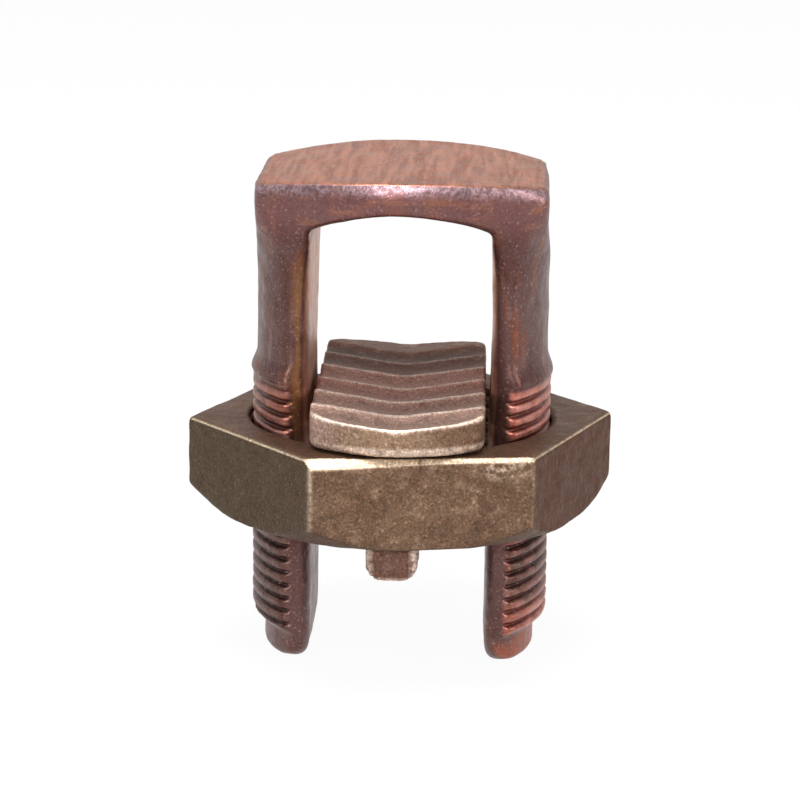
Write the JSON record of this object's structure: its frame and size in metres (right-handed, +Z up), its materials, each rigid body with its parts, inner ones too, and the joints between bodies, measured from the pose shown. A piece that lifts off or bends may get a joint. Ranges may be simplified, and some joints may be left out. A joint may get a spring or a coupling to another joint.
{
  "type": "split bolt connector",
  "caption": "Split bolt connector: forged copper U-bolt with a threaded outside, bronze hex nut and ridged pressure bar that clamps wires in its slot.",
  "frame": {"origin": "middle of the bounding box, on the plane of the two leg ends", "axes": "+X across the two legs, +Y along the conductors, +Z up from the leg ends to the head"},
  "size_m": [0.0506, 0.0476, 0.059],
  "materials": {
    "copper": "forged copper, brown patina, bare pink copper on the head and the thread crests",
    "nut_bronze": "sand-cast bronze, olive brown, edges worn bright",
    "bar_bronze": "cast bronze, ridge crests worn bright"
  },
  "bodies": {
    "bolt": {"split_bolt": "copper"},
    "bar": {"pressure_bar": "bar_bronze"},
    "nut": {"hex_nut": "nut_bronze"}
  },
  "joints": [
    {"name": "bar_slide", "type": "slide", "parent": "bolt", "child": "bar", "axis": [0, 0, 1], "range_m": [-0.0251, 0.005]},
    {"name": "nut_spin", "type": "hinge", "parent": "bar", "child": "nut", "pos_m": [0, 0, 0.0228], "axis": [0, 0, 1], "range_deg": [-5685, 1130]}
  ],
  "couplings": [
    {"joint": "bar_slide", "follows": "nut_spin", "m_per_rad": 0.00025266}
  ]
}
